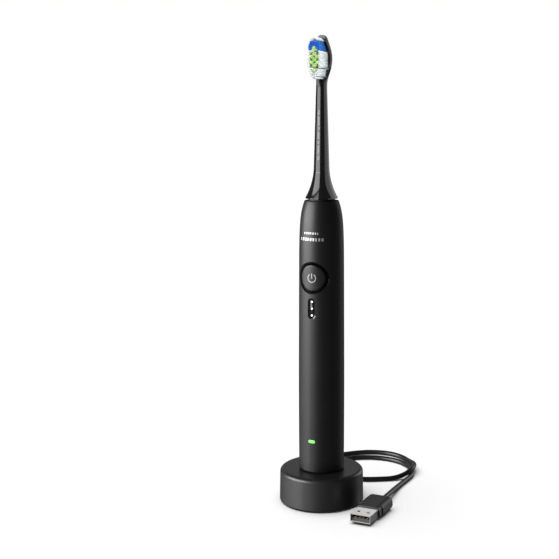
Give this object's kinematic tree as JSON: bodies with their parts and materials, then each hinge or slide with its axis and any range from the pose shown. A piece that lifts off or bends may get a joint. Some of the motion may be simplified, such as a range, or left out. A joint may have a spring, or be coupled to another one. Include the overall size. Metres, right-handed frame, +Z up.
{
  "type": "electric toothbrush on charger",
  "caption": "Slim sonic electric toothbrush with a slender-necked brush head, standing on a low round charging base with a looped cord and a USB plug.",
  "frame": {"origin": "centre of the round charger's underside, on the table; the brush's long axis stands over it", "axes": "+Z up along the handle and brush head, -Y the front with the button, lights and bristles, +X to the right seen from the front"},
  "size_m": [0.074, 0.121, 0.2668],
  "materials": {
    "black_satin": "satin",
    "black_gloss": "gloss",
    "charger_black": "satin gloss",
    "button_black": "satin",
    "cord_black": "smooth",
    "foot_rubber": "matte",
    "nickel": "bright nickel",
    "gold": "gold plated",
    "inner_black": "matte",
    "inner_white": "matte",
    "frame_grey": "glass-filled",
    "steel": "ground",
    "magnet": "nickel plated",
    "copper": "enamelled copper",
    "ferrite": "sintered",
    "board_green": "solder mask",
    "component": "moulded",
    "bronze": "sintered bronze",
    "cell_wrap": "shrink sleeve",
    "foam": "foam",
    "light_white": "translucent",
    "light_green": "translucent",
    "bristle_white": "filament",
    "bristle_blue": "filament",
    "bristle_green": "filament"
  },
  "bodies": {
    "charger": {"charger_housing": "charger_black", "charger_base_plate": "charger_black", "base_screws": "steel", "foot_ring": "foot_rubber", "ferrite_core": "ferrite", "primary_bobbin": "inner_white", "primary_coil": "copper", "charger_board": "board_green", "charger_components": "component", "lead_wires": "copper", "strain_relief": "cord_black", "cord": "cord_black", "usb_shell": "nickel", "usb_tongue": "inner_black", "usb_contacts": "gold", "usb_overmould": "cord_black"},
    "handle": {"handle_housing": "black_satin", "end_cap": "inner_black", "end_cap_seal": "foot_rubber", "coil_former": "inner_white", "charging_coil": "copper", "button_ring": "black_gloss", "button_gasket": "foot_rubber", "tact_switch": "inner_black", "mode_window": "black_gloss", "mode_light_guides": "light_white", "battery_lens": "light_green", "indicator_leds": "light_white", "circuit_board": "board_green", "board_chips": "component", "battery_cell": "cell_wrap", "battery_tabs": "copper", "battery_pad": "foam", "chassis": "inner_white", "drive_frame": "frame_grey", "rear_bearing": "bronze", "front_bearing": "bronze", "frame_screws": "steel", "stator_core": "steel", "coil_bobbin": "inner_white", "drive_coil": "copper", "torsion_spring": "steel", "shaft_seal": "foot_rubber", "seal_clamp": "inner_white"},
    "button": {"power_button": "button_black", "switch_plunger": "inner_black"},
    "drive": {"drive_shaft": "steel", "rotor_hub": "steel", "rotor_magnets": "magnet", "spring_collar": "steel"},
    "brush_head": {"brush_neck": "black_gloss", "bristles_white": "bristle_white", "bristles_blue": "bristle_blue", "bristles_green": "bristle_green", "tuft_anchors": "steel", "shaft_coupling": "inner_white", "coupling_clip": "steel", "tag_ring": "copper"}
  },
  "joints": [
    {"name": "handle_lift", "type": "slide", "parent": "charger", "child": "handle", "axis": [0, 0, 1], "range_m": [0, 0.06]},
    {"name": "button_press", "type": "slide", "parent": "handle", "child": "button", "axis": [0, 1, 0], "range_m": [0, 0.0003], "stiffness_N_per_m": 2000},
    {"name": "shaft_sweep", "type": "hinge", "parent": "handle", "child": "drive", "pos_m": [0, 0, 0.13], "axis": [0, 0, 1], "range_deg": [-6, 6], "stiffness_Nm_per_rad": 0.05, "deforming": ["torsion_spring"]},
    {"name": "head_pull", "type": "slide", "parent": "drive", "child": "brush_head", "axis": [0, 0, 1], "range_m": [0, 0.03]}
  ]
}
